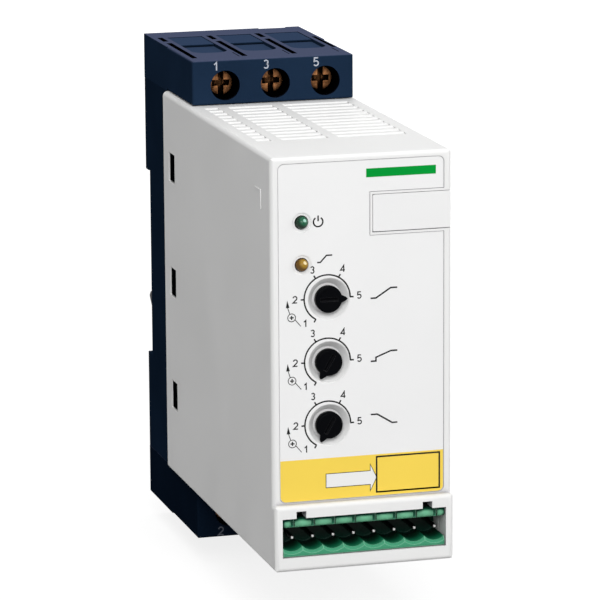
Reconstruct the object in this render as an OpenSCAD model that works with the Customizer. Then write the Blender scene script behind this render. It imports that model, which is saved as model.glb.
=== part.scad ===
// Soft starter for a small motor, 45 mm wide, clipped on a 35 mm rail.
// X runs to the right seen from the front, the front faces -Y and Z is up.
// The origin is mid-width, on the back plane, at the height of the rail's centreline.

/* [Front cover] */
// Width of the white hood
cover_w = 44.6; // [43:0.1:50]
// Height of the hood
cover_h = 100; // [96:0.5:110]
// Height of the rail's centreline above the hood's lower face
rail_above = 59; // [56:0.5:62]
// Distance from the back plane to the front panel
panel_depth = 129; // [124:0.5:140]
// Distance from the back plane to the hood's open back edge
cover_back = 25; // [23:0.5:28]
// Wall thickness of the hood
cover_wall = 2; // [1.6:0.1:2.4]
// Rounding of the hood's outer edges
cover_r = 1.2; // [0.6:0.1:2]
// How far the connector ledge stands in front of the panel
ledge_out = 2; // [1:0.1:3]
// Height of the connector ledge
ledge_h = 16.3; // [15:0.1:18]

/* [Vents] */
// Rows of slots in the roof and in the floor of the hood
vent_rows = 12; // [4:1:12]
// Distance from row to row
vent_pitch = 4.4; // [3.6:0.1:4.6]
// Width of one slot
vent_w = 2; // [1:0.1:2.6]
// Slope of a slot's back edge towards the outside
vent_slope = 0.6; // [0.3:0.1:0.8]
// Distance from the front panel to the first row
vent_front = 24.2; // [20:0.1:28]
// Margin between the hood's left side and the slots
vent_margin = 3.4; // [2.6:0.1:4]
// Length of the left slots
vent_len_a = 3.5; // [3:0.1:4.5]
// Length of the middle slots
vent_len_b = 11.5; // [10:0.1:12.5]
// Margin between the slots and the hood's right side
vent_right = 3.9; // [3:0.1:5]
// Solid bridge between two columns of slots
vent_bridge = 2.6; // [2:0.1:3]

/* [Label and marker tag] */
// Margin of the label film on the left, right and top of the panel
label_margin = 2; // [1.5:0.1:3]
// Thickness of the label film
label_t = 0.25; // [0.1:0.05:0.4]
// Depth of the label's seat in the panel
label_seat = 0.35; // [0.2:0.05:0.5]
// Corner radius of the label film
label_r = 1.4; // [0.8:0.1:2]
// Width of the marker tag
tag_w = 19.6; // [16:0.1:20]
// Height of the marker tag
tag_h = 8.9; // [7:0.1:10]
// Thickness of the marker tag
tag_t = 1.1; // [0.8:0.1:1.3]
// Distance from the hood's top to the tag's pocket
tag_drop = 9.9; // [9:0.1:11]
// Gap round the marker tag in its pocket
tag_gap = 0.15; // [0.1:0.05:0.5]

/* [Setting dials] */
// Sideways place of the dials, left of the middle
dial_left = 8.1; // [7:0.05:9]
// Distance from the hood's top to the first dial
dial_drop = 34.5; // [33:0.05:36]
// Distance from dial to dial
dial_pitch = 15.3; // [14.5:0.1:16]
// Diameter of the round dish that holds a knob
dish_d = 9.9; // [9.7:0.1:11]
// Diameter of the dish's floor
dish_floor_d = 7.2; // [6.8:0.1:8]
// Depth of the dish below the panel
dish_depth = 1.9; // [1.8:0.1:3]
// Depth of the straight lip above the dish's cone
dish_lip = 0.4; // [0.3:0.1:0.8]
// Diameter of the knob
knob_d = 6.5; // [6:0.1:7]
// Thickness of the knob
knob_t = 1.7; // [1.4:0.1:1.9]
// How far the knob stands in front of the panel
knob_out = 0.5; // [0.4:0.1:0.9]
// Bevel of the knob's front edge
knob_bevel = 0.3; // [0.1:0.1:0.5]
// Reach of the pointer from the knob's axis
pointer_r = 4.55; // [4.2:0.05:4.6]
// Thickness of the pointer
pointer_t = 0.6; // [0.4:0.1:0.7]
// Diameter of the knob's shaft
shaft_d = 3; // [2.5:0.1:3.5]
// Radial clearance of the shaft in the potentiometer
shaft_fit = 0.05; // [0.02:0.01:0.1]
// Turn of a knob from the first mark to the last, in degrees
dial_angle = 240; // [180:5:270]
// Side of the square potentiometer body
pot_w = 9.6; // [8:0.1:11]
// Thickness of the potentiometer body
pot_t = 5; // [4:0.1:5.5]

/* [Signal lamps] */
// Sideways place of the lamps, left of the middle
led_left = 14.6; // [14:0.1:15.4]
// Distance from the hood's top to the first lamp
led_drop = 15.75; // [14:0.05:17]
// Distance from lamp to lamp
led_pitch = 10.15; // [9:0.05:11]
// Diameter of a lamp
led_d = 3; // [2.8:0.1:3.4]
// How far a lamp stands in front of the panel
led_out = 1.3; // [1:0.1:1.8]
// Diameter of the shallow counterbore round a lamp
led_sink_d = 4.4; // [4:0.1:5]
// Depth of that counterbore
led_sink = 0.4; // [0.3:0.1:0.8]

/* [Control connector] */
// Distance from pin to pin
pin_pitch = 5.08; // [5:0.01:5.1]
// Side of a square pin
pin_w = 1; // [0.6:0.1:1]
// Height of the connector body
header_h = 9.1; // [8.6:0.1:9.6]
// Height of the connector's middle above the hood's lower face
header_up = 8.3; // [7.6:0.1:8.6]
// How far the connector's mouth lies behind the ledge
header_sink = 0.4; // [0.2:0.1:1]
// Depth of the socket
socket_depth = 9; // [7:0.5:10]
// Height of the toothed upper rim
rim_h = 2.1; // [1.6:0.1:2.4]
// Width of a groove in the upper rim
rim_gap = 1; // [0.6:0.1:1.6]
// Depth of the grooves in the upper rim
rim_cut = 0.8; // [0.4:0.1:1.2]
// Radius of the half-round channels in the lower wall
scallop_r = 3.4; // [3:0.1:3.5]
// Gap between the connector and its opening in the hood
header_gap = 0.25; // [0.1:0.05:0.3]
// Width of the keying notches above the connector
key_w = 2.4; // [1.6:0.1:3]
// Height of the keying notches
key_h = 1.7; // [1:0.1:2]
// Distance of the keying notches from the outer pins
key_in = 2.08; // [1.6:0.01:3]

/* [Base and terminal heads] */
// How far the dark blue base is set in from the hood's sides
base_in = 1.2; // [0.8:0.1:1.5]
// Height of the line head above the hood
line_h = 11.5; // [11:0.1:13]
// Height of the load head below the hood
load_h = 12.5; // [11:0.1:13]
// Rounding of the terminal heads' edges
head_r = 0.6; // [0.3:0.1:1]
// Depth of the terminal heads
head_depth = 51.3; // [50:0.1:54]
// Wall of the base
base_wall = 1.8; // [1.4:0.1:2]
// Thickness of the roof over the terminal chambers
roof_t = 3.4; // [3:0.1:3.6]
// Gap between the hood and the parts that it slides over
slide_gap = 0.2; // [0.1:0.05:0.3]
// Distance from the base's left side to the first pole
pole_left = 8.6; // [8.4:0.1:9]
// Distance from the base's right side to the last pole
pole_right = 7.4; // [7.2:0.1:7.8]
// Width of a cable mouth
mouth_w = 9.2; // [8.6:0.1:9.4]
// Length of a cable mouth
mouth_l = 29; // [27:0.5:30]
// Distance from the back plane to the cable mouth
mouth_back = 9.5; // [9:0.1:11]
// Radius of the mouth's two front corners
mouth_r = 3.5; // [2:0.1:4]
// Width of the slits between the poles
slit_w = 1.4; // [0.8:0.1:1.5]
// Depth of the slits
slit_depth = 8; // [5:0.5:9]

/* [Terminals] */
// Diameter of the screwdriver holes
access_d = 7.6; // [7.2:0.1:8]
// Depth of the screw heads behind the face of the terminal head
access_depth = 4.8; // [4.4:0.1:5.4]
// Distance from the outer face of a terminal head to the screw's axis
screw_drop = 6.5; // [6.3:0.1:6.8]
// Diameter of a terminal screw's head
screw_head_d = 6; // [5.4:0.1:6.4]
// Thickness of a terminal screw's head
screw_head_t = 2.5; // [2:0.1:2.8]
// Diameter of a terminal screw's shank
screw_d = 4; // [3:0.1:4]
// Height of a clamp cage
cage_h = 4.6; // [4.2:0.1:4.8]
// Length of a clamp cage
cage_l = 11.8; // [11:0.1:12.4]
// Wall of a clamp cage
cage_wall = 1.2; // [0.8:0.1:1.4]
// Width of a busbar
bar_w = 4; // [3:0.1:5]
// Thickness of a busbar
bar_t = 1; // [0.8:0.1:1]

/* [Rail fixing] */
// Height of the mounting rail
rail_h = 35; // [34.8:0.1:35.2]
// Thickness of the rail's flange
rail_t = 1; // [1:0.1:1.2]
// Depth of the rail's recess in the back
recess_depth = 4.4; // [4.2:0.1:5]
// How far the hook and the latch reach over the rail's edges
hook_lap = 1; // [0.7:0.1:1.5]
// Distance from the rail's centreline to the lower end of the recess
recess_down = 33; // [30:0.5:36]
// Play of the rail between hook and latch
rail_play = 0.3; // [0.1:0.1:0.5]
// Height of the latch's nose
nose_h = 4.4; // [4:0.1:5]
// Width of the latch's tail
tail_w = 16; // [14:0.5:18]
// Travel of the latch when it is pulled
latch_travel = 3; // [2:0.5:4]
// Gap round the latch
latch_gap = 0.3; // [0.2:0.05:0.35]
// Width of the two ears that end the latch's travel
ear_w = 3; // [2:0.5:5]
// How far the latch's tail reaches below the load head
tail_out = 3; // [2:0.5:5]
// Outer diameter of the latch spring
spring_d = 2.6; // [2:0.1:2.8]
// Wire diameter of the latch spring
spring_wire = 0.45; // [0.3:0.05:0.5]
// Free room for the latch spring
spring_l = 14; // [12:0.5:15]

/* [Snaps] */
// Height of a snap window in the hood's sides
snap_h = 7.6; // [6:0.1:9]
// Length of a snap window
snap_l = 6.2; // [5:0.1:7]
// Distance from the hood's back edge to the snap windows
snap_in = 5.3; // [4:0.1:6.5]
// Distance from snap to snap
snap_pitch = 30; // [26:0.5:31]
// Height of the middle snap, measured from the rail's centreline
snap_mid = -7.7; // [-10:0.1:-5]

/* [Boards and power parts] */
// Thickness of the circuit boards
board_t = 1.6; // [1:0.1:1.6]
// Distance from the front panel to the control board
board_in = 13; // [12:0.1:14]
// Side gap round the control board
board_gap = 1.2; // [1:0.1:2.5]
// Gap between the power board and the thyristor modules
board_back = 0.8; // [0.5:0.1:2]
// Width of the gap between the two boards, filled by their connector
link_gap = 2.4; // [2:0.1:3]
// Diameter of the board screws
fix_d = 2.5; // [2:0.1:2.6]
// Thickness of the back wall of the base
back_wall = 8; // [7:0.1:9]
// Depth of the heat sink's fins
fin_l = 18; // [15:0.5:20]
// Thickness of a fin
fin_t = 1.6; // [1:0.1:2]
// Thickness of the heat sink's plate
sink_t = 4; // [3:0.1:5]
// Gap between the heat sink and the busbars above and below it
sink_clear = 3.5; // [2:0.1:6]
// Thickness of a thyristor module
module_t = 12.2; // [11:0.1:13]
// Height of a thyristor module
module_h = 40; // [34:1:44]
// Width of a thyristor module
module_w = 8.4; // [7.5:0.1:8.6]

/* [Hidden] */
$fn = 48;

white = [0.93, 0.93, 0.92];
navy = [0.10, 0.15, 0.26];
black = [0.05, 0.05, 0.06];
copper = [0.80, 0.48, 0.24];
steel = [0.70, 0.71, 0.73];
board_green = [0.10, 0.35, 0.22];

// Planes of the hood
cover_z0 = -rail_above;
cover_z1 = cover_h - rail_above;
panel_y = -panel_depth;
ledge_y = panel_y - ledge_out;
ledge_z = cover_z0 + ledge_h;
inner_w = cover_w - 2 * cover_wall;
over = 1;
hole_gap = 0.4;
mark_in = 8;
mark_drop = 8.8;
mark_y0 = panel_y + mark_in;
mark_z1 = cover_z1 - mark_drop;
mark_l = 5.6;
mark_h = 4.6;
mark_t = 0.35;
mark_out = 0.2;

// Places on the front panel
dial_x = -dial_left;
function dial_z(i) = cover_z1 - dial_drop - i * dial_pitch;
led_x = -led_left;
function led_z(i) = cover_z1 - led_drop - i * led_pitch;
dish_y = panel_y + dish_depth;
dish_wall = 1.6;
tag_x0 = cover_w / 2 - tag_w;
tag_z1 = cover_z1 - tag_drop;
tag_z0 = tag_z1 - tag_h - 2 * tag_gap;
tag_sink = 0.1;
tag_edge = 0.2;
tag_pocket = tag_t + tag_sink;
tag_plate = tag_w - tag_gap - tag_edge;
tag_r = 0.4;
label_w = cover_w - 2 * label_margin;
label_top = 1.7;
label_low = 0.4;
label_gap = 0.15;
label_z1 = cover_z1 - label_top;
label_z0 = ledge_z + label_low;
label_step = 0.7;
vent_len_c = cover_w - vent_margin - vent_len_a - vent_len_b - 2 * vent_bridge - vent_right;
vent_starts = [
  -cover_w / 2 + vent_margin,
  -cover_w / 2 + vent_margin + vent_len_a + vent_bridge,
  -cover_w / 2 + vent_margin + vent_len_a + vent_len_b + 2 * vent_bridge
];
vent_lens = [vent_len_a, vent_len_b, vent_len_c];

// Boards
board_y0 = panel_y + board_in;
board_y1 = board_y0 + board_t;
board_w = inner_w - 2 * board_gap;
board_low = 0.8;
board_top = 1.6;
board_z0 = cover_z0 + cover_wall + board_low;
board_z1 = cover_z1 - cover_wall - board_top;
fix_head_d = 1.84 * fix_d;
fix_head_t = 1.6;
boss_screw = 5;
boss_d = 2 * fix_d;
boss_x = board_w / 2 - boss_d / 2;
boss_top = 7;
boss_zs = [cover_z1 - boss_top, ledge_z + boss_d];
power_y0 = board_y1 + link_gap;

// Control connector
header_trim = 0.44;
bell_cut = 0.6;
rim_l = 2.2;
rim_step = 1;
pin_count = floor((inner_w + header_trim) / pin_pitch);
header_w = pin_count * pin_pitch - header_trim;
header_z = cover_z0 + header_up;
header_y = ledge_y + header_sink;
header_cut = header_w + 2 * over;
rim_z = header_h / 2 - rim_h;
pin_sink = 0.6;
pin_tail = 1.2;
pin_out = board_y1 + pin_tail;
key_x = (pin_count - 1) / 2 * pin_pitch - key_in;
function pin_x(i) = (i - (pin_count - 1) / 2) * pin_pitch;

// Base
sleeve_w = inner_w - 2 * slide_gap;
cavity_w = sleeve_w - 2 * base_wall;
base_w = cover_w - 2 * base_in;
sleeve_l = 24;
sleeve_front = -(cover_back + sleeve_l);
cavity_z0 = cover_z0 + cover_wall + slide_gap + base_wall;
cavity_z1 = cover_z1 - cover_wall - slide_gap - base_wall;
snap_y1 = -cover_back - snap_in;
snap_y0 = snap_y1 - snap_l;
guide_h = 4;
guide_lip = 1.4;
guide_root = 0.1;
guide_end = 4;
board_side = 0.7;
board_edge = 1;
power_x0 = -cavity_w / 2 + board_side;
power_z0 = cavity_z0 + board_edge;
power_z1 = cavity_z1 - board_edge;
hook_shy = 0.3;
hook_gap = 0.25;
hook_flat = 3.8;

// Terminal heads, drawn upwards from the hood's face
slit_front = 5;
slit_back = 9;
slit_bridge = 3;
slit_break = 19;
rim_wall = 0.8;
rim_slit = 1;
line_mark = 0.3;
line_deep = 0.4;
edge_w = 7.5;
edge_t = 1.2;
pole_pitch = (base_w - pole_left - pole_right) / 2;
function pole_x(i) = pole_left - base_w / 2 + i * pole_pitch;
mouth_front = -mouth_back - mouth_l;
chamber_side = 0.4;
chamber_fore = 1.5;
chamber_aft = 1;
chamber_w = mouth_w + 2 * chamber_side;
chamber_y0 = mouth_front - chamber_fore;
chamber_y1 = chamber_aft - mouth_back;
floor_t = 1.2;
head_front = -head_depth;
seat_y = head_front + access_depth + screw_head_t;
bar_lift = 0.1;
bar_gap = 0.3;
bar_z = slide_gap + floor_t + bar_lift;
cage_gap = 0.4;
cage_y0 = chamber_y0 + cage_gap;
cage_y1 = cage_y0 + cage_l;
tab_y1 = cage_y1 - cage_wall;
drop_in = 4.6;
drop_y1 = drop_in - cover_back;
screw_reach = 2;
slot_w = 1.5;
slot_deep = 1.6;
cross_w = 4.6;
cross_deep = 2;
thread_gap = 0.1;

// Power parts in the base
sink_y1 = -back_wall;
sink_y0 = sink_y1 - fin_l - sink_t;
sink_gap = 0.3;
sink_w = cavity_w - 2 * sink_gap;
sink_z = (cavity_z0 + cavity_z1) / 2;
fin_first = 4.2;
fin_edge = 1;
fin_pitch = (sink_w / 2 - fin_t / 2 - fin_edge - fin_first) / 3;
module_y0 = sink_y0 - module_t;
module_up = 3;
module_z = sink_z + module_up;
power_y1 = module_y0 - board_back;
bend_in = 1.5;
bar_lap = 6;
bar_low = cavity_z1 - bend_in - bar_t;
bar_high = cavity_z0 + bend_in + bar_t;
sink_h = bar_low - bar_high - 2 * sink_clear;
post_d = 5;
post_in = 5;
post_core = 4;
sink_screw = 8;
function post_z(s) = sink_z + s * (sink_h / 2 - post_in);
line_reach = bar_low - module_z - module_h / 2 + bar_lap;
load_reach = module_z - module_h / 2 - bar_high + bar_lap;
through_reach = (bar_low - bar_high) / 2;

// Pieces on the power board and between the boards
on_board = power_x0 + board_t;
link_w = 5;
link_h = 24;
relay_w = 20;
relay_l = 30;
relay_h = 16;
relay_in = 8;
relay_y0 = power_y1 - relay_in - relay_l;
relay_z_first = 14;
relay_z_third = -8;
core_w = 22;
core_l = 26;
core_leg = 4;
core_in = 5;
core_y0 = power_y0 + core_in;
core_z0 = -48;
core_h = 22;
bobbin_out = 3;
can_d = 13;
can_l = 20;
can_gap = 4;
can_y = core_y0 + core_l + can_gap + can_d / 2;
can_z = -32;
disc_d = 11;
disc_t = 4;
disc_in = 10;
disc_y0 = power_y0 + disc_in;
disc_z = 6;
disc_pitch = 12;

// Rail fixing
hook_z = rail_h / 2 - hook_lap;
undercut_z = rail_h / 2 + rail_play;
latch_top = -rail_h / 2 + hook_lap;
latch_in = 0.5;
latch_w = base_w - 2 * latch_in;
latch_y0 = -recess_depth + latch_gap;
lip_t = 1.4;
tail_y1 = -lip_t - latch_gap;
tail_end = cover_z0 - load_h - tail_out;
ear_z = latch_gap + latch_travel - recess_down;
nose_tip = -0.1;
nose_bevel = 1.1;
nose_flat = 0.5;
pull_w = 5;
pull_h = 1.2;
rail_channel = 5;
window_side = 1.5;
window_in = 5;
window_w = spring_d + 2 * window_side;
window_z1 = -recess_down - window_in;
stop_z1 = window_z1 - spring_l;
stop_h = 2;

// Block between two corners
module block(x, y, z) {
  translate([x[0], y[0], z[0]])
    cube([x[1] - x[0], y[1] - y[0], z[1] - z[0]]);
}

// Flat outline drawn in X and Z, made solid between two depths
module along_y(y) {
  translate([0, y[1], 0])
    rotate([90, 0, 0])
      linear_extrude(y[1] - y[0])
        children();
}

// Flat outline drawn in Y and Z, made solid between two sides
module along_x(x) {
  translate([x[0], 0, 0])
    rotate([90, 0, 90])
      linear_extrude(x[1] - x[0])
        children();
}

// Round bar along Y
module rod_y(d, y, x, z) {
  translate([x, y[1], z])
    rotate([90, 0, 0])
      cylinder(d = d, h = y[1] - y[0]);
}

// Rectangle with four round corners, about its own middle
module round_rect(w, h, r) {
  square([w - 2 * r, h], center = true);
  square([w, h - 2 * r], center = true);
  for (sx = [-1, 1], sy = [-1, 1])
    translate([sx * (w / 2 - r), sy * (h / 2 - r)])
      circle(r);
}

// Box open to the back whose front and side edges are rounded
module soft_box(w, y, z, r) {
  mid = (z[0] + z[1]) / 2;
  long = y[1] - y[0] + 4 * r;
  intersection() {
    along_y(y)
      translate([0, mid])
        round_rect(w, z[1] - z[0], r);
    along_x([-w, w])
      translate([y[0] + long / 2, mid])
        round_rect(long, z[1] - z[0], r);
    translate([0, y[0] + long / 2, z[0] - over])
      linear_extrude(z[1] - z[0] + 2 * over)
        round_rect(w, long, r);
  }
}

// Outline of the label: a panel-wide sheet with a corner cut for the tag
module label_outline(grow) {
  w = label_w + 2 * grow;
  cut_x = tag_x0 - label_step + grow;
  difference() {
    translate([0, (label_z0 + label_z1) / 2])
      round_rect(w, label_z1 - label_z0 + 2 * grow, label_r);
    translate([cut_x, tag_z0 - label_step + grow])
      square([cover_w, tag_z1 - tag_z0 + 2 * label_step - 2 * grow]);
  }
}

// Slots through the hood's roof and floor
module vent_slots() {
  for (row = [0 : vent_rows - 1], col = [0 : 2]) {
    y = panel_y + vent_front + row * vent_pitch;
    x = vent_starts[col];
    along_x([x, x + vent_lens[col]])
      polygon([
        [y - vent_w / 2, cover_z0 - over],
        [y + vent_w / 2 + vent_slope + over, cover_z0 - over],
        [y + vent_w / 2, cover_z0 + vent_slope],
        [y + vent_w / 2, cover_z1 - vent_slope],
        [y + vent_w / 2 + vent_slope + over, cover_z1 + over],
        [y - vent_w / 2, cover_z1 + over]
      ]);
  }
}

// Thin raised angle on the hood's left side that shows where the front is pulled off
module side_mark() {
  side = [-cover_w / 2 - mark_out, -cover_w / 2 + cover_wall / 2];
  block(side, [mark_y0, mark_y0 + mark_l], [mark_z1 - mark_t, mark_z1]);
  block(side, [mark_y0, mark_y0 + mark_t], [mark_z1 - mark_h, mark_z1]);
}

// White hood: panel, roof, floor and two sides in one moulding
module front_cover() {
  color(white)
    difference() {
      union() {
        difference() {
          union() {
            soft_box(cover_w, [panel_y, -cover_back], [cover_z0, cover_z1], cover_r);
            soft_box(cover_w, [ledge_y, panel_y + ledge_h], [cover_z0, ledge_z], cover_r);
          }
          block([-inner_w / 2, inner_w / 2], [panel_y + cover_wall, over - cover_back],
                [cover_z0 + cover_wall, cover_z1 - cover_wall]);
          vent_slots();
        }
        for (i = [0 : 2])
          rod_y(dish_d + 2 * dish_wall, [panel_y + cover_wall / 2, dish_y + dish_wall], dial_x, dial_z(i));
        for (sx = [-1, 1], z = boss_zs)
          rod_y(boss_d, [panel_y + cover_wall / 2, board_y0], sx * boss_x, z);
        side_mark();
      }
      along_y([panel_y - over, panel_y + label_seat])
        label_outline(label_gap);
      block([tag_x0, cover_w], [panel_y - over, panel_y + tag_pocket], [tag_z0, tag_z1]);
      for (i = [0 : 2]) {
        rod_y(dish_d, [panel_y - over, panel_y + dish_lip], dial_x, dial_z(i));
        translate([dial_x, dish_y, dial_z(i)])
          rotate([90, 0, 0])
            cylinder(d1 = dish_floor_d, d2 = dish_d, h = dish_depth - dish_lip);
        rod_y(shaft_d + 2 * hole_gap, [dish_y - over, dish_y + 2 * dish_wall], dial_x, dial_z(i));
      }
      for (i = [0 : 1]) {
        rod_y(led_d + hole_gap, [panel_y - over, panel_y + 2 * cover_wall], led_x, led_z(i));
        rod_y(led_sink_d, [panel_y - over, panel_y + led_sink], led_x, led_z(i));
      }
      block([-header_w / 2 - header_gap, header_w / 2 + header_gap], [ledge_y - over, panel_y + 2 * cover_wall],
            [header_z - header_h / 2 - header_gap, header_z + header_h / 2 + header_gap]);
      for (sx = [-1, 1])
        block([sx * key_x - key_w / 2, sx * key_x + key_w / 2], [ledge_y - over, panel_y + 2 * cover_wall],
              [header_z, header_z + header_h / 2 + header_gap + key_h]);
      for (i = [-1 : 1])
        block([-cover_w, cover_w], [snap_y0, snap_y1],
              [snap_mid + i * snap_pitch - snap_h / 2, snap_mid + i * snap_pitch + snap_h / 2]);
      for (sx = [-1, 1], z = boss_zs)
        rod_y(fix_d, [board_y0 - boss_screw - over, board_y0 + over], sx * boss_x, z);
    }
}

// Printed film on the front panel, with holes for the dials and lamps
module fascia_label() {
  color([0.97, 0.97, 0.97])
    along_y([panel_y + label_seat - label_t, panel_y + label_seat])
      difference() {
        label_outline(0);
        for (i = [0 : 2])
          translate([dial_x, dial_z(i)])
            circle(d = dish_d + hole_gap);
        for (i = [0 : 1])
          translate([led_x, led_z(i)])
            circle(d = led_sink_d + hole_gap);
      }
}

// Blank plate that slides into the pocket from the right
module marker_tag() {
  color(white)
    along_y([panel_y + tag_pocket - tag_t, panel_y + tag_pocket])
      translate([tag_x0 + tag_gap + tag_plate / 2, (tag_z0 + tag_z1) / 2])
        round_rect(tag_plate, tag_h, tag_r);
}

// Wedge on the side of the base that holds the hood in a snap window
module snap_hook(side, z) {
  x0 = sleeve_w / 2 - over;
  x1 = sleeve_w / 2;
  x2 = cover_w / 2 - hook_shy;
  y0 = snap_y0 + hook_gap;
  y1 = snap_y1 - hook_gap;
  half = snap_h / 2 - hook_gap;
  translate([0, 0, z - half])
    linear_extrude(2 * half)
      polygon([
        [side * x0, y1],
        [side * x2, y1],
        [side * x2, y1 - hook_flat],
        [side * x1, y0],
        [side * x0, y0]
      ]);
}

// Rail recess with its fixed upper hook, and the channel of the latch
module rail_cuts() {
  block([-base_w, base_w], [-recess_depth, over], [-recess_down, hook_z]);
  block([-base_w, base_w], [-recess_depth, -recess_depth + rail_t + rail_play], [0, undercut_z]);
  block([-tail_w / 2 - latch_gap, tail_w / 2 + latch_gap], [-recess_depth, -lip_t], [cover_z0 - over, 0]);
  block([rail_channel - tail_w / 2 - latch_gap, tail_w / 2 + latch_gap - rail_channel], [-recess_depth, over],
        [cover_z0 - over, 0]);
}

// Grooved block that holds one edge of the power board
module card_guide(z) {
  difference() {
    block([-cavity_w / 2 - guide_root, power_x0 + board_t + guide_lip],
      [sleeve_front, power_y1 + guide_end], z);
    block([power_x0, power_x0 + board_t], [sleeve_front - over, power_y1], [power_z0, power_z1]);
  }
}

// Dark blue base: back wall, sides and the sleeve that carries the hood
module base_housing() {
  color(navy) {
    difference() {
      union() {
        block([-base_w / 2, base_w / 2], [-cover_back, 0], [cover_z0, cover_z1]);
        block([-sleeve_w / 2, sleeve_w / 2], [sleeve_front, -cover_back],
              [cavity_z0 - base_wall, cavity_z1 + base_wall]);
        for (side = [-1, 1], i = [-1 : 1])
          snap_hook(side, snap_mid + i * snap_pitch);
      }
      block([-cavity_w / 2, cavity_w / 2], [sleeve_front - over, -back_wall], [cavity_z0, cavity_z1]);
      rail_cuts();
      for (i = [0 : 2])
        block([pole_x(i) - bar_w / 2 - bar_gap, pole_x(i) + bar_w / 2 + bar_gap],
              [drop_y1 - bar_t - bar_gap, drop_y1 + bar_gap], [cover_z0 - over, cover_z1 + over]);
    }
    card_guide([cavity_z1 - guide_h, cavity_z1]);
    card_guide([cavity_z0, cavity_z0 + guide_h]);
    for (s = [-1, 1])
      difference() {
        rod_y(post_d, [sink_y0 + sink_t, -back_wall], 0, post_z(s));
        rod_y(fix_d, [sink_y0, -back_wall - post_core], 0, post_z(s));
      }
    block([latch_gap - window_w / 2, window_w / 2 - latch_gap], [-recess_depth, tail_y1],
          [stop_z1 - stop_h, stop_z1]);
  }
}

// Cable mouth: straight at the back, two round corners at the front
module mouth_outline() {
  translate([-mouth_w / 2, mouth_front + mouth_r])
    square([mouth_w, mouth_l - mouth_r]);
  translate([-mouth_w / 2 + mouth_r, mouth_front])
    square([mouth_w - 2 * mouth_r, mouth_l]);
  for (sx = [-1, 1])
    translate([sx * (mouth_w / 2 - mouth_r), mouth_front + mouth_r])
      circle(mouth_r);
}

// Terminal head seen from the hood outwards, h high
module terminal_head(h, channel) {
  screw_z = h - screw_drop;
  color(navy)
    difference() {
      union() {
        soft_box(base_w, [head_front, 0], [slide_gap, h], head_r);
        block([-base_w / 2, base_w / 2], [slide_gap - cover_back, 0], [0, h]);
      }
      for (i = [0 : 2])
        translate([pole_x(i), 0, 0]) {
          translate([0, 0, h - roof_t - over])
            linear_extrude(roof_t + 2 * over)
              mouth_outline();
          block([-chamber_w / 2, chamber_w / 2], [chamber_y0, chamber_y1], [slide_gap + floor_t, h - roof_t]);
          block([-chamber_w / 2, chamber_w / 2], [chamber_aft - cover_back, chamber_y1], [-over, h - roof_t]);
          rod_y(access_d, [head_front - over, seat_y], 0, screw_z);
          rod_y(screw_d + hole_gap, [seat_y - over, chamber_y0 + over], 0, screw_z);
          for (y = [[head_front + slit_front, -slit_break], [slit_bridge - slit_break, -slit_back]])
            block([-pole_pitch / 2 - slit_w / 2, -pole_pitch / 2 + slit_w / 2], y, [h - slit_depth, h + over]);
          block([mouth_w / 2 + line_mark, mouth_w / 2 + 2 * line_mark],
                [head_front + slit_front, mouth_front - over], [h - line_deep, h + over]);
        }
      block([base_w / 2 - rim_wall - rim_slit, base_w / 2 - rim_wall], [mouth_front, -slit_break],
            [h - roof_t, h + over]);
      block([pole_x(2) - edge_w / 2, pole_x(2) + edge_w / 2], [-edge_t, over], [h - edge_t, h + over]);
      if (channel)
        block([-tail_w / 2 - latch_gap, tail_w / 2 + latch_gap], [-recess_depth, over], [-over, h + over]);
    }
}

// Combination screw with a cross slot, head outwards
module terminal_screw(h, x) {
  head_y = head_front + access_depth;
  color(copper)
    translate([x, 0, h - screw_drop])
      difference() {
        union() {
          rod_y(screw_head_d, [head_y, seat_y], 0, 0);
          rod_y(screw_d, [seat_y, cage_y0 + cage_wall + screw_reach], 0, 0);
        }
        block([-cross_w / 2, cross_w / 2], [head_y - over, head_y + slot_deep], [-slot_w / 2, slot_w / 2]);
        block([-slot_w / 2, slot_w / 2], [head_y - over, head_y + cross_deep], [-screw_head_d, screw_head_d]);
      }
}

// Steel clamp cage, open upwards and downwards, threaded for the screw
module terminal_cage(h, x) {
  screw_z = h - screw_drop;
  half = mouth_w / 2;
  color(steel)
    translate([x, 0, screw_z])
      difference() {
        block([-half, half], [cage_y0, cage_y1], [-cage_h / 2, cage_h / 2]);
        block([-half + cage_wall, half - cage_wall], [cage_y0 + cage_wall, tab_y1], [-cage_h, cage_h]);
        rod_y(screw_d + thread_gap, [cage_y0 - over, cage_y0 + 2 * cage_wall], 0, 0);
      }
}

// Copper strip from a clamp cage to the front of the power parts
module busbar(h, x, reach) {
  top = h - screw_drop + cage_h / 2;
  side = [x - bar_w / 2, x + bar_w / 2];
  low = bar_low - cover_z1;
  color(copper) {
    block(side, [tab_y1 - bar_t, tab_y1], [bar_z, top]);
    block(side, [tab_y1 - bar_t, drop_y1], [bar_z, bar_z + bar_t]);
    block(side, [drop_y1 - bar_t, drop_y1], [low, bar_z + bar_t]);
    block(side, [module_y0 - bar_t, drop_y1], [low, low + bar_t]);
    block(side, [module_y0 - bar_t, module_y0], [low - reach, low + bar_t]);
  }
}

// Places a piece on the hood's upper face, or mirrored on its lower face
module on_top() {
  translate([0, 0, cover_z1])
    children();
}
module on_bottom() {
  translate([0, 0, cover_z0])
    mirror([0, 0, 1])
      children();
}

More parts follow.
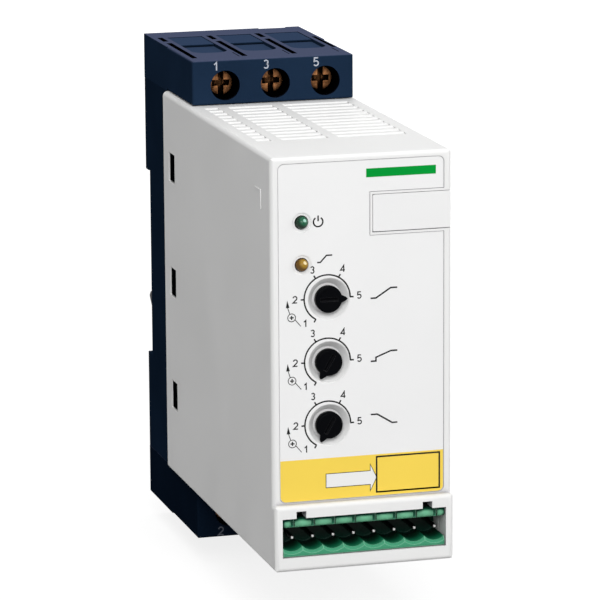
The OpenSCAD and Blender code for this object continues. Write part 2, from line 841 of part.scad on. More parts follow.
// Sliding latch: wide nose, tail with a spring window and a pull slot
module din_latch() {
  color(black)
    difference() {
      union() {
        along_x([-latch_w / 2, latch_w / 2])
          polygon([
            [latch_y0, latch_top],
            [nose_tip - nose_bevel, latch_top],
            [nose_tip, latch_top - nose_bevel],
            [nose_tip, latch_top - nose_bevel - nose_flat],
            [latch_y0 + nose_bevel, latch_top - nose_h],
            [latch_y0, latch_top - nose_h]
          ]);
        block([-tail_w / 2, tail_w / 2], [latch_y0, tail_y1], [tail_end, latch_top - nose_h / 2]);
        block([-tail_w / 2 - ear_w, tail_w / 2 + ear_w], [latch_y0, tail_y1], [ear_z, latch_top - nose_h / 2]);
      }
      block([-window_w / 2, window_w / 2], [-recess_depth - over, over],
            [stop_z1 - stop_h - latch_gap, window_z1]);
      block([-pull_w / 2, pull_w / 2],
        [-recess_depth - over, over],
        [tail_end + pull_h, tail_end + 2 * pull_h]);
    }
}

// Compression spring between the base's stop and the latch
coils = 7;
ring_steps = 14;
wire_sides = 6;
spring_r = (spring_d - spring_wire) / 2;
coil_rise = spring_l - spring_wire;
spring_y = (latch_y0 + tail_y1) / 2;
function coil_point(i, k) =
  let (a = 360 * i / ring_steps, b = 360 * k / wire_sides, r = spring_r + spring_wire / 2 * cos(b))
  [r * cos(a), r * sin(a), spring_wire / 2 + coil_rise * i / (coils * ring_steps) + spring_wire / 2 * sin(b)];
module latch_spring() {
  last = coils * ring_steps;
  points = [for (i = [0 : last], k = [0 : wire_sides - 1]) coil_point(i, k)];
  sides = [
    for (i = [0 : last - 1], k = [0 : wire_sides - 1])
      let (n = (k + 1) % wire_sides)
      [i * wire_sides + k, (i + 1) * wire_sides + k, (i + 1) * wire_sides + n, i * wire_sides + n]
  ];
  start_cap = [[for (k = [0 : wire_sides - 1]) k]];
  end_cap = [[for (k = [wire_sides - 1 : -1 : 0]) last * wire_sides + k]];
  color(steel)
    translate([0, spring_y, stop_z1])
      polyhedron(points, concat(sides, start_cap, end_cap));
}

// Black setting knob with a pointer and a screwdriver slot, turned to its rest mark
pointer_tip = 0.8;
pointer_root = 0.84;
knob_slot_l = 4.4;
knob_slot_w = 0.9;
knob_slot_deep = 0.8;
shaft_end = 1;
module setting_knob(i, angle) {
  y0 = panel_y - knob_out;
  y1 = y0 + knob_t;
  color(black)
    translate([dial_x, 0, dial_z(i)])
      rotate([0, -angle, 0])
        difference() {
          union() {
            rod_y(knob_d, [y0 + knob_bevel, y1], 0, 0);
            translate([0, y0 + knob_bevel, 0])
              rotate([90, 0, 0])
                cylinder(d1 = knob_d, d2 = knob_d - 2 * knob_bevel, h = knob_bevel);
            along_y([y0, y0 + pointer_t])
              polygon([
                [0, knob_d * pointer_root / 2 - knob_bevel],
                [pointer_r - pointer_tip / 2, pointer_tip / 2],
                [pointer_r, 0],
                [pointer_r - pointer_tip / 2, -pointer_tip / 2],
                [0, knob_bevel - knob_d * pointer_root / 2]
              ]);
            rod_y(shaft_d, [y1 - over, board_y0 - shaft_end], 0, 0);
          }
          block([-knob_slot_l / 2, knob_slot_l / 2], [y0 - over, y0 + knob_slot_deep],
                [-knob_slot_w / 2, knob_slot_w / 2]);
        }
}

// Trimming potentiometer on the control board
pot_floor = 0.6;
module potentiometer(i) {
  color([0.20, 0.32, 0.55])
    difference() {
      block([dial_x - pot_w / 2, dial_x + pot_w / 2], [board_y0 - pot_t, board_y0],
            [dial_z(i) - pot_w / 2, dial_z(i) + pot_w / 2]);
      rod_y(shaft_d + 2 * shaft_fit, [board_y0 - pot_t - over, board_y0 - pot_floor], dial_x, dial_z(i));
    }
}

// Signal lamp with a round nose, standing on its spacer
spacer_l = 4;
lamp_rim = 0.4;
lamp_rim_t = 1;
module signal_lamp(i, tint) {
  tip = panel_y - led_out;
  r = led_d / 2;
  seat = board_y0 - spacer_l;
  color(tint)
    translate([led_x, 0, led_z(i)])
      rotate([90, 0, 0])
        rotate_extrude() {
          translate([0, -seat])
            square([r, seat - tip - r]);
          translate([0, -seat])
            square([r + lamp_rim, lamp_rim_t]);
          intersection() {
            translate([0, -tip - r])
              circle(r);
            translate([0, -tip - r])
              square([r, r]);
          }
        }
}
module lamp_spacers() {
  color(black)
    for (i = [0 : 1])
      rod_y(led_d + 2 * lamp_rim, [board_y0 - spacer_l, board_y0], led_x, led_z(i));
}

// Control board behind the panel, carried by four bosses of the hood
module control_board() {
  color(board_green)
    difference() {
      block([-board_w / 2, board_w / 2], [board_y0, board_y1], [board_z0, board_z1]);
      for (sx = [-1, 1], z = boss_zs)
        rod_y(fix_d + hole_gap, [board_y0 - over, board_y1 + over], sx * boss_x, z);
      for (i = [0 : pin_count - 1])
        rod_y(1.5 * pin_w, [board_y0 - over, board_y1 + over], pin_x(i), header_z);
    }
}
module control_board_screws() {
  color(steel)
    for (sx = [-1, 1], z = boss_zs) {
      rod_y(fix_head_d, [board_y1, board_y1 + fix_head_t], sx * boss_x, z);
      rod_y(fix_d, [board_y0 - boss_screw, board_y1 + fix_head_t / 2], sx * boss_x, z);
    }
}

// Green pluggable socket, open at both ends: toothed rim above, half-round channels below
module control_header() {
  color([0.05, 0.50, 0.33])
    translate([0, 0, header_z])
      difference() {
        block([-header_w / 2, header_w / 2], [header_y, board_y0], [-header_h / 2, header_h / 2]);
        along_y([header_y - over, header_y + socket_depth]) {
          translate([-header_cut / 2, 0])
            square([header_cut, rim_z]);
          for (i = [0 : pin_count - 1])
            translate([pin_x(i), 0])
              intersection() {
                circle(scallop_r);
                translate([-scallop_r, -scallop_r])
                  square([2 * scallop_r, scallop_r + rim_z]);
              }
        }
        for (i = [0 : pin_count - 1]) {
          block([pin_x(i) - rim_gap / 2, pin_x(i) + rim_gap / 2], [header_y - over, header_y + rim_cut],
                [rim_z - over, header_h]);
          block([pin_x(i) - pin_w / 2, pin_x(i) + pin_w / 2], [header_y, board_y0 + over],
                [-pin_w / 2, pin_w / 2]);
        }
        intersection() {
          for (i = [0 : pin_count - 1])
            translate([pin_x(i), header_y + bell_cut, 0])
              rotate([90, 0, 0])
                cylinder(r1 = scallop_r, r2 = scallop_r + 2 * bell_cut, h = 2 * bell_cut);
          block([-header_cut, header_cut], [header_y - over, header_y + over], [-header_h, 0]);
        }
        block([-header_cut / 2, header_cut / 2], [header_y + rim_l, board_y0 + over],
              [header_h / 2 - rim_step, header_h]);
        difference() {
          block([-header_cut / 2, header_cut / 2],
            [header_y - over, header_y + rim_h / 2],
            [rim_z - over, header_h]);
          translate([-header_cut, header_y + rim_h / 2, rim_z + rim_h / 2])
            rotate([0, 90, 0])
              cylinder(d = rim_h, h = 2 * header_cut);
        }
      }
}

// Square pins of the control connector, from the socket through the board
module header_pins() {
  color(steel)
    for (i = [0 : pin_count - 1])
      block([pin_x(i) - pin_w / 2, pin_x(i) + pin_w / 2], [header_y + pin_sink, pin_out],
            [header_z - pin_w / 2, header_z + pin_w / 2]);
}

// Power board along the left side, held in the base's guides
module power_board() {
  color(board_green)
    block([power_x0, power_x0 + board_t], [power_y0, power_y1], [power_z0, power_z1]);
}

// Connector between the two boards
module board_link() {
  color(black)
    block([power_x0, power_x0 + link_w], [board_y1, power_y0], [-link_h / 2, link_h / 2]);
}

// Extruded aluminium heat sink with fins towards the back wall
module heat_sink() {
  color([0.78, 0.79, 0.80])
    difference() {
      union() {
        block([-sink_w / 2, sink_w / 2],
          [sink_y0, sink_y0 + sink_t],
          [sink_z - sink_h / 2, sink_z + sink_h / 2]);
        for (side = [-1, 1], i = [0 : 3]) {
          x = side * (fin_first + i * fin_pitch);
          block([x - fin_t / 2, x + fin_t / 2], [sink_y0 + sink_t / 2, sink_y1],
                [sink_z - sink_h / 2, sink_z + sink_h / 2]);
        }
      }
      for (s = [-1, 1])
        rod_y(fix_d + hole_gap, [sink_y0 - over, sink_y0 + sink_t + over], 0, post_z(s));
    }
}
module heat_sink_screws() {
  color(steel)
    for (s = [-1, 1]) {
      rod_y(fix_head_d, [sink_y0 - fix_head_t, sink_y0], 0, post_z(s));
      rod_y(fix_d, [sink_y0 - fix_head_t / 2, sink_y0 + sink_t + sink_screw], 0, post_z(s));
    }
}

// Thyristor module screwed flat on the heat sink
module thyristor(x) {
  color([0.16, 0.16, 0.18])
    block([x - module_w / 2, x + module_w / 2], [module_y0, sink_y0],
          [module_z - module_h / 2, module_z + module_h / 2]);
}

// Sealed relay that carries one phase once the motor has run up
module bypass_relay(z) {
  color([0.15, 0.22, 0.40])
    block([on_board, on_board + relay_w], [relay_y0, relay_y0 + relay_l], [z, z + relay_h]);
}

// Small supply transformer: laminated core with a wound bobbin
module supply_transformer() {
  window_x = [on_board + core_leg, on_board + core_w - core_leg];
  window_y = [core_y0 + core_leg, core_y0 + core_l - core_leg];
  color([0.55, 0.52, 0.42]) {
    difference() {
      block([on_board, on_board + core_w], [core_y0, core_y0 + core_l], [core_z0, core_z0 + core_h]);
      block(window_x, window_y, [core_z0 - over, core_z0 + core_h + over]);
    }
    block(window_x, window_y, [core_z0 - bobbin_out, core_z0 + core_h + bobbin_out]);
  }
}
module smoothing_capacitor() {
  color([0.10, 0.12, 0.20])
    translate([on_board, can_y, can_z])
      rotate([0, 90, 0])
        cylinder(d = can_d, h = can_l);
}
module varistors() {
  color([0.20, 0.35, 0.65])
    for (i = [0 : 2])
      rod_y(disc_d, [disc_y0, disc_y0 + disc_t], on_board + disc_d / 2, disc_z + i * disc_pitch);
}

base_housing();
on_top() terminal_head(line_h, false);  // line_terminal_head
on_bottom() terminal_head(load_h, true);  // load_terminal_head
front_cover();
fascia_label();
marker_tag();
din_latch();
latch_spring();
setting_knob(0, 0);  // start_ramp_knob
setting_knob(1, dial_angle);  // start_voltage_knob
setting_knob(2, dial_angle);  // stop_ramp_knob
potentiometer(0);  // start_ramp_pot
potentiometer(1);  // start_voltage_pot
potentiometer(2);  // stop_ramp_pot
signal_lamp(0, [0.05, 0.40, 0.20]);  // power_lamp
signal_lamp(1, [0.75, 0.55, 0.10]);  // run_lamp
lamp_spacers();
control_board();
control_board_screws();
control_header();
header_pins();
power_board();
board_link();
heat_sink();
heat_sink_screws();
thyristor(pole_x(0));  // thyristor_first
thyristor(pole_x(2));  // thyristor_third
bypass_relay(relay_z_first);  // bypass_relay_first
bypass_relay(relay_z_third);  // bypass_relay_third
supply_transformer();
smoothing_capacitor();
varistors();
on_top() for (i = [0 : 2]) terminal_screw(line_h, pole_x(i));  // line_screws
on_bottom() for (i = [0 : 2]) terminal_screw(load_h, pole_x(i));  // load_screws
on_top() terminal_cage(line_h, pole_x(0));  // line_cage_1
on_top() terminal_cage(line_h, pole_x(1));  // line_cage_3
on_top() terminal_cage(line_h, pole_x(2));  // line_cage_5
on_bottom() terminal_cage(load_h, pole_x(0));  // load_cage_2
on_bottom() terminal_cage(load_h, pole_x(1));  // load_cage_4
on_bottom() terminal_cage(load_h, pole_x(2));  // load_cage_6
on_top() busbar(line_h, pole_x(0), line_reach);  // line_busbar_1
on_top() busbar(line_h, pole_x(2), line_reach);  // line_busbar_5
on_bottom() busbar(load_h, pole_x(0), load_reach);  // load_busbar_2
on_bottom() busbar(load_h, pole_x(2), load_reach);  // load_busbar_6
union() {  // through_busbar
  on_top() busbar(line_h, pole_x(1), through_reach);
  on_bottom() busbar(load_h, pole_x(1), through_reach);
}
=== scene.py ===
import math

import bmesh
import bpy
from mathutils import Matrix, Vector


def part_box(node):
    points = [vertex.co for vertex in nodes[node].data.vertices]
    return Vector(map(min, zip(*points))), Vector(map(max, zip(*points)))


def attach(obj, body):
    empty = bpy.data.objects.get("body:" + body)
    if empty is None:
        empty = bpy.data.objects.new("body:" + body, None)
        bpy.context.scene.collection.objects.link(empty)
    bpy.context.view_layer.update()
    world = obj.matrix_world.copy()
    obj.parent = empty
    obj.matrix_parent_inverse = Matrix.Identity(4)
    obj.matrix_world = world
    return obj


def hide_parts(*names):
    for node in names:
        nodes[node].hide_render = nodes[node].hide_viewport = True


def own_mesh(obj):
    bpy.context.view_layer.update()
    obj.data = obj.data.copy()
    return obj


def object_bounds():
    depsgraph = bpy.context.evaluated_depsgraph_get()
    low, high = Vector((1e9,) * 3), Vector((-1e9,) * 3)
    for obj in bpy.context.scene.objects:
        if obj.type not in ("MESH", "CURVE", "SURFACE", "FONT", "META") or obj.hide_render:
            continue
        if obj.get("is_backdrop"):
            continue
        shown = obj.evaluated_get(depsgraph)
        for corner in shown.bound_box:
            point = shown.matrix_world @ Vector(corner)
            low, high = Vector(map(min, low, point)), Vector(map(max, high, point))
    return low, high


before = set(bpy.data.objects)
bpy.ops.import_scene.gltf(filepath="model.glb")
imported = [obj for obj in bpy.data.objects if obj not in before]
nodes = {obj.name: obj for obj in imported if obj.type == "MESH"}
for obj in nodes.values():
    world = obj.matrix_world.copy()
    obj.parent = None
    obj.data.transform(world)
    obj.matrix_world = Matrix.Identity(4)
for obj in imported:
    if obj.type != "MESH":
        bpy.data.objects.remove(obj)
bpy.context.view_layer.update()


# Base and terminal heads: dark blue glass-filled polyamide, three mouldings with a fine eroded grain.
# The heads are pressed on the base's upper and lower faces. Dust and a painted sheen lie on what faces up,
# and hollows carry painted shade. The load head and the base are darker copies of the navy as painted
# shade, and what the hood covers of the base is painted nearly black as shade.
navy, dust_and_sheen, hollow_shade = (0.0110, 0.0248, 0.053), (0.074, 0.090, 0.158), (0.0004, 0.0006, 0.001)
navy_skin = {"roughness": 0.6, "grain": 0.00022, "relief": 0.00003, "specular": 0.0, "cloud": 0.12}
head_finishes = (("line_terminal_head", "navy_plastic", 1), ("load_terminal_head", "shaded_navy", 0.4))
base_shade_tone, covered_shade = 0.72, (0.0008, 0.0012, 0.002)
sloped_facing, flat_facing = 0.4, 1
moulded_edge = 0.0002
hood_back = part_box("front_cover")[1].y
covered_none, covered_full = hood_back - 0.0002, hood_back - 0.0006


def bare(name):
    """A new material, with its nodes and its shader."""
    material = bpy.data.materials.new(name)
    material.use_nodes = True
    tree = material.node_tree
    return material, tree, tree.nodes["Principled BSDF"]


def added(tree, kind, operation=None, **values):
    """A new node with values on its sockets, whose names have an underscore for a space."""
    node = tree.nodes.new("ShaderNode" + kind)
    if operation:
        node.operation = operation
    for socket, value in values.items():
        node.inputs[socket.replace("_", " ")].default_value = value
    return node


def ramp(tree, *stops):
    """A new colour ramp through colours at rising positions."""
    node = added(tree, "ValToRGB")
    elements = node.color_ramp.elements
    for element, (position, colour) in zip(elements, (stops[0], stops[-1])):
        element.position = position
        element.color = (*colour, 1)
    for position, colour in stops[1:-1]:
        elements.new(position).color = (*colour, 1)
    return node


def linked(tree, output, socket):
    """Leads one node's output to another's socket."""
    tree.links.new(output, socket)


def moulded(name, colour, roughness, grain, relief, specular=0.5, cloud=0.06):
    """Moulded plastic: flow clouds in colour and gloss, and an eroded grain."""
    material, tree, shader = bare(name)
    shader.inputs["Specular IOR Level"].default_value = specular
    place = added(tree, "TexCoord")
    flow = added(tree, "TexNoise", Scale=55, Detail=4)
    darker, paler = [c * (1 - cloud) for c in colour], [min(1, c * (1 + cloud)) for c in colour]
    tint = ramp(tree, (0.3, darker), (0.7, paler))
    duller, smoother = roughness + 0.07, roughness - 0.07
    gloss = added(tree, "MapRange", From_Min=0.25, From_Max=0.75, To_Min=smoother, To_Max=duller)
    skin = added(tree, "TexNoise", Scale=1 / grain, Detail=2)
    bump = added(tree, "Bump", Strength=0.6, Distance=relief)
    linked(tree, place.outputs["Object"], flow.inputs["Vector"])
    linked(tree, place.outputs["Object"], skin.inputs["Vector"])
    linked(tree, flow.outputs["Fac"], tint.inputs["Fac"])
    linked(tree, tint.outputs["Color"], shader.inputs["Base Color"])
    linked(tree, flow.outputs["Fac"], gloss.inputs["Value"])
    linked(tree, gloss.outputs["Result"], shader.inputs["Roughness"])
    linked(tree, skin.outputs["Fac"], bump.inputs["Height"])
    linked(tree, bump.outputs["Normal"], shader.inputs["Normal"])
    return material


def rising(material, source, axis, start, end):
    """A share from nothing at start to one at end, along an axis of the place or of the facing."""
    tree = material.node_tree
    split = added(tree, "SeparateXYZ")
    share = added(tree, "MapRange", From_Min=start, From_Max=end)
    linked(tree, tree.nodes["Texture Coordinate"].outputs[source], split.inputs["Vector"])
    linked(tree, split.outputs[axis], share.inputs["Value"])
    return share.outputs["Result"]


def hollows(material, reach, closed, clear, alone=True):
    """A share from nothing on open skin to one where the piece, or its neighbours too, close off the sky."""
    tree = material.node_tree
    sky = added(tree, "AmbientOcclusion", Distance=reach)
    sky.samples = 8
    sky.only_local = alone
    share = added(tree, "MapRange", From_Min=clear, From_Max=closed)
    linked(tree, sky.outputs["AO"], share.inputs["Value"])
    return share.outputs["Result"]


def coated(material, colour, share):
    """Lays a colour over a material's own one, as thick as the share says."""
    tree = material.node_tree
    coat = added(tree, "Mix")
    coat.data_type = "RGBA"
    amount, under, over, result = coat.inputs[0], coat.inputs[6], coat.inputs[7], coat.outputs[2]
    over.default_value = (*colour, 1)
    painted = tree.nodes["Principled BSDF"].inputs["Base Color"]
    linked(tree, share, amount)
    linked(tree, painted.links[0].from_socket, under)
    linked(tree, result, painted)


def finish_node(name, material):
    """Gives a node of the frame its finish."""
    nodes[name].data.materials.clear()
    nodes[name].data.materials.append(material)


def soften(name, width, sharpest=35):
    """Rounds a moulding's edges as its tool does."""
    piece = nodes[name]
    weld = piece.modifiers.new("weld", "WELD")
    weld.merge_threshold = 2e-6
    flats = piece.modifiers.new("flats", "DECIMATE")
    flats.decimate_type = "DISSOLVE"
    flats.angle_limit = math.radians(1)
    edge = piece.modifiers.new("edge", "BEVEL")
    edge.width = width
    edge.segments = 2
    edge.limit_method = "ANGLE"
    edge.angle_limit = math.radians(sharpest)
    normals = piece.modifiers.new("normals", "WEIGHTED_NORMAL")
    normals.keep_sharp = False


# The load head gets a darker copy of the navy, as painted shade
for name, finish, tone in head_finishes:
    head_plastic = moulded(finish, [c * tone for c in navy], **navy_skin)
    # Dust and a painted sheen on what faces up
    coated(head_plastic, dust_and_sheen, rising(head_plastic, "Normal", "Z", sloped_facing, flat_facing))
    # Painted shade in the hollows
    coated(head_plastic, hollow_shade, hollows(head_plastic, reach=0.009, closed=0.5, clear=0.95))
    finish_node(name, head_plastic)
    soften(name, moulded_edge)
# The base is a darker copy of the navy, as painted shade
base_plastic = moulded("base_plastic", [c * base_shade_tone for c in navy], **navy_skin)
# What the hood covers of the base is painted nearly black, as shade
coated(base_plastic, covered_shade, rising(base_plastic, "Object", "Y", covered_none, covered_full))
finish_node("base_housing", base_plastic)
soften("base_housing", moulded_edge)


# Break-out plates: thin webs of the same polyamide across the cable mouths, as delivered.
# Each steps down halfway, where it breaks, has a gap round its front end, and goes when a cable is
# fitted. Sizes are in millimetres, and a half is its outline, how deep it lies and its thickness.
pole_xs = (-12.5, 0.6, 13.7)
mouth_half, mouth_back, mouth_front, mouth_corner = 4.55, -9.55, -37.3, 3.45
step_y, step_lap, corner_step = -22.9, 0.5, 11.25
web_dust_and_sheen, web_edge = (0.034, 0.058, 0.115), 0.00015


def arc(x, y, r, start, end, step=6):
    """Points along an arc, a step of degrees apart."""
    count = max(2, round(abs(end - start) / step) + 1)
    turns = [math.radians(start + (end - start) * i / (count - 1)) for i in range(count)]
    return [(x + r * math.cos(t), y + r * math.sin(t)) for t in turns]


def oblong(left, right, low, high):
    """A rectangle's corners."""
    return [(left, low), (right, low), (right, high), (left, high)]


def made(name, form, material):
    """A new piece from a finished form."""
    mesh = bpy.data.meshes.new(name)
    form.to_mesh(mesh)
    form.free()
    mesh.materials.append(material)
    piece = bpy.data.objects.new(name, mesh)
    bpy.context.scene.collection.objects.link(piece)
    return piece


corner_x, corner_y = mouth_half - mouth_corner, mouth_front + mouth_corner
back_outline = oblong(-mouth_half, mouth_half, mouth_back, step_y)
front_outline = ([(mouth_half, step_y + step_lap), (-mouth_half, step_y + step_lap)]
                 + arc(-corner_x, corner_y, mouth_corner, 180, 270, corner_step)
                 + arc(corner_x, corner_y, mouth_corner, 270, 360, corner_step))
halves = ((back_outline, 0.12, 0.58), (front_outline, 0.75, 0.7))
webs = bmesh.new()
for face, inward in ((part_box("line_terminal_head")[1].z, -1), (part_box("load_terminal_head")[0].z, 1)):
    for pole in pole_xs:
        for outline, sunk, thick in halves:
            z = face + inward * sunk / 1000
            plate = webs.faces.new([webs.verts.new(((pole + x) / 1000, y / 1000, z)) for x, y in outline])
            plate.normal_update()
            if plate.normal.z * inward > 0:
                plate.normal_flip()
            grown = bmesh.ops.extrude_face_region(webs, geom=[plate], use_keep_orig=True)
            inner = [v for v in grown["geom"] if isinstance(v, bmesh.types.BMVert)]
            bmesh.ops.translate(webs, verts=inner, vec=(0, 0, inward * thick / 1000))
bmesh.ops.recalc_face_normals(webs, faces=webs.faces)
web_plastic = moulded("web_plastic", navy, **navy_skin)
# Dust and a painted sheen on what faces up
coated(web_plastic, web_dust_and_sheen, rising(web_plastic, "Normal", "Z", sloped_facing, flat_facing))
# Painted shade in the hollows
coated(web_plastic, hollow_shade, hollows(web_plastic, reach=0.0015, closed=0.2, clear=0.95))
plates = made("break_out_plates", webs, web_plastic)
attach(plates, "housing")
rounded = plates.modifiers.new("edge", "BEVEL")
rounded.width = web_edge
rounded.segments = 2
rounded.limit_method = "ANGLE"


# Clamp cages: bent and threaded steel with a zinc coat, one to each pole.
# They lie loose in the heads' chambers and are held by their screws.
def metal(name, colour, roughness, streak, relief, tarnish=0.78):
    """Metal with rolling streaks, so many to the metre along each axis, and a darker tarnish between."""
    material, tree, shader = bare(name)
    shader.inputs["Metallic"].default_value = 1
    place = added(tree, "TexCoord")
    stretch = added(tree, "Mapping", Scale=streak)
    lines = added(tree, "TexNoise", Scale=1, Detail=3)
    tint = ramp(tree, (0.25, [c * tarnish for c in colour]), (0.7, colour))
    gloss = added(tree, "MapRange", To_Min=roughness - 0.1, To_Max=roughness + 0.12)
    bump = added(tree, "Bump", Strength=0.5, Distance=relief)
    linked(tree, place.outputs["Object"], stretch.inputs["Vector"])
    linked(tree, stretch.outputs["Vector"], lines.inputs["Vector"])
    linked(tree, lines.outputs["Fac"], tint.inputs["Fac"])
    linked(tree, tint.outputs["Color"], shader.inputs["Base Color"])
    linked(tree, lines.outputs["Fac"], gloss.inputs["Value"])
    linked(tree, gloss.outputs["Result"], shader.inputs["Roughness"])
    linked(tree, lines.outputs["Fac"], bump.inputs["Height"])
    linked(tree, bump.outputs["Normal"], shader.inputs["Normal"])
    return material


zinc_steel = metal("zinc_steel", (0.60, 0.61, 0.62), roughness=0.38, streak=(700, 700, 4500),
                   relief=0.00001)
for name in ("line_cage_1", "line_cage_3", "line_cage_5", "load_cage_2", "load_cage_4", "load_cage_6"):
    finish_node(name, zinc_steel)


# Busbars: punched and bent copper strips from the clamps to the power parts.
# The middle one runs straight through from the line to the load side.
copper_strip = metal("copper_strip", (0.72, 0.30, 0.14), roughness=0.34, streak=(900, 5200, 900),
                     relief=0.000008)
for name in ("line_busbar_1", "line_busbar_5", "load_busbar_2", "load_busbar_6", "through_busbar"):
    finish_node(name, copper_strip)


# Terminal screws: turned brass-coloured screws with a cross slot, three to a head.
# They sit deep in round holes, where they tarnish in blotches and painted shade darkens them towards the
# wall.
screw_edge, screw_shade = 0.00012, (0.004, 0.002, 0.001)
screw_brass = metal("screw_brass", (0.62, 0.27, 0.11), roughness=0.36, streak=(900, 400, 900),
                    relief=0.00003, tarnish=0.15)
# Painted shade towards the holes' walls
coated(screw_brass, screw_shade, hollows(screw_brass, reach=0.003, closed=0.5, clear=0.97, alone=False))
for name in ("line_screws", "load_screws"):
    finish_node(name, screw_brass)
    soften(name, screw_edge)


# Rail latch: black moulded slider in the base's back, pressed up by a coil of steel wire.
# The coil sits in a window of the latch, with its foot on a stop of the base. It stands for the
# CAD spring.
black_plastic = moulded("black_plastic", (0.009, 0.010, 0.013), roughness=0.42, grain=0.00018,
                        relief=0.00002, specular=0.04, cloud=0.15)
finish_node("din_latch", black_plastic)
soften("din_latch", moulded_edge)
spring_steel = metal("spring_steel", (0.50, 0.50, 0.51), roughness=0.3, streak=(1500, 1500, 1500),
                     relief=0.000005)
finish_node("latch_spring", spring_steel)
low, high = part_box("latch_spring")
wire_r, coils, ring_steps, wire_sides, travel = 0.000225, 7, 32, 10, 0.003
axis_x, axis_y, coil_r = (low.x + high.x) / 2, (low.y + high.y) / 2, (high.x - low.x) / 2 - wire_r
coil_rise = high.z - low.z - 2 * wire_r
coil = bmesh.new()
rings = []
for i in range(coils * ring_steps + 1):
    turn = math.tau * i / ring_steps
    middle_z = low.z + wire_r + coil_rise * i / (coils * ring_steps)
    section = arc(coil_r, middle_z, wire_r, 0, 360, 360 / wire_sides)[:-1]
    rings.append([coil.verts.new((axis_x + r * math.cos(turn), axis_y + r * math.sin(turn), z))
                  for r, z in section])
for this, after in zip(rings, rings[1:]):
    for k in range(wire_sides):
        coil.faces.new((this[k - 1], this[k], after[k], after[k - 1])).smooth = True
coil.faces.new(rings[0])
coil.faces.new(rings[-1])
bmesh.ops.recalc_face_normals(coil, faces=coil.faces)
spring = made("coil_spring", coil, spring_steel)
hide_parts("latch_spring")
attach(spring, "housing")
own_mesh(spring)


# Heat sink: extruded aluminium with eight fins, screwed to two posts of the base.
# Two thyristor modules in black epoxy cases are pressed flat on its plate.
sink_edge, module_edge = 0.00015, 0.0003
sink_aluminium = metal("sink_aluminium", (0.70, 0.71, 0.72), roughness=0.42, streak=(3200, 3200, 90),
                       relief=0.00002)
finish_node("heat_sink", sink_aluminium)
soften("heat_sink", sink_edge)
finish_node("heat_sink_screws", zinc_steel)
module_epoxy = moulded("module_epoxy", (0.022, 0.022, 0.025), roughness=0.62, grain=0.00035, relief=0.00004,
                       specular=0.3, cloud=0.2)
for name in ("thyristor_first", "thyristor_third"):
    finish_node(name, module_epoxy)
    soften(name, module_edge)


# Power board: glass-fibre laminate under green solder resist, in two guides of the base.
# Relays, transformer, capacitor and varistors are soldered on its right face.
resist_green, track_green = (0.010, 0.085, 0.035), (0.035, 0.17, 0.07)
track_length, track_pitch, track_gap = 0.011, 0.0024, 0.0004
relay_edge, sleeve_edge, varistor_edge = 0.0004, 0.0008, 0.0012


def laminate(name, resist, track):
    """Circuit board: copper tracks show as paler bands through the resist."""
    material, tree, shader = bare(name)
    shader.inputs["Roughness"].default_value = 0.32
    shader.inputs["Specular IOR Level"].default_value = 0.35
    place = added(tree, "TexCoord")
    turn = added(tree, "Mapping", Rotation=(math.pi / 2, 0, math.pi / 2))
    darker = [c * 0.85 for c in resist]
    runs = added(tree, "TexBrick", Color1=(*resist, 1), Color2=(*darker, 1), Mortar=(*track, 1), Scale=1,
                 Brick_Width=track_length, Row_Height=track_pitch, Mortar_Size=track_gap)
    weave = added(tree, "TexNoise", Scale=1800)
    bump = added(tree, "Bump", Strength=0.4, Distance=0.00003)
    linked(tree, place.outputs["Object"], turn.inputs["Vector"])
    linked(tree, turn.outputs["Vector"], runs.inputs["Vector"])
    linked(tree, place.outputs["Object"], weave.inputs["Vector"])
    linked(tree, runs.outputs["Color"], shader.inputs["Base Color"])
    linked(tree, weave.outputs["Fac"], bump.inputs["Height"])
    linked(tree, bump.outputs["Normal"], shader.inputs["Normal"])
    return material


green_laminate = laminate("green_laminate", resist_green, track_green)
finish_node("power_board", green_laminate)
relay_case = moulded("relay_case", (0.020, 0.035, 0.10), roughness=0.35, grain=0.0003, relief=0.00002,
                     specular=0.4)
for name in ("bypass_relay_first", "bypass_relay_third"):
    finish_node(name, relay_case)
    soften(name, relay_edge)
core_steel = metal("core_steel", (0.33, 0.32, 0.28), roughness=0.5, streak=(500, 2200, 500), relief=0.00008)
finish_node("supply_transformer", core_steel)
capacitor_sleeve = moulded("capacitor_sleeve", (0.012, 0.016, 0.035), roughness=0.28, grain=0.0008,
                           relief=0.00003)
finish_node("smoothing_capacitor", capacitor_sleeve)
soften("smoothing_capacitor", sleeve_edge)
varistor_coat = moulded("varistor_coat", (0.03, 0.09, 0.30), roughness=0.45, grain=0.0009, relief=0.0001,
                        specular=0.4)
finish_node("varistors", varistor_coat)
soften("varistors", varistor_edge)


# Control board: the same laminate, screwed to four bosses behind the panel.
# Three trimming potentiometers and two lamp spacers stand on its front face.
finish_node("control_board", green_laminate)
finish_node("control_board_screws", zinc_steel)
finish_node("board_link", black_plastic)
finish_node("lamp_spacers", black_plastic)
pot_case = moulded("pot_case", (0.03, 0.08, 0.24), roughness=0.4, grain=0.0003, relief=0.00002,
                   specular=0.4)
for name in ("start_ramp_pot", "start_voltage_pot", "stop_ramp_pot"):
    finish_node(name, pot_case)
    soften(name, moulded_edge)


# Signal lamps: 3 mm lenses cast in tinted epoxy, green for power and amber for running.
# They stand on the spacers and look through counterbored holes of the panel.
# The way the lenses' painted highlight faces; away from it they are darker, as painted shade
highlight_way = Vector((0.30, -0.82, 0.48)).normalized()


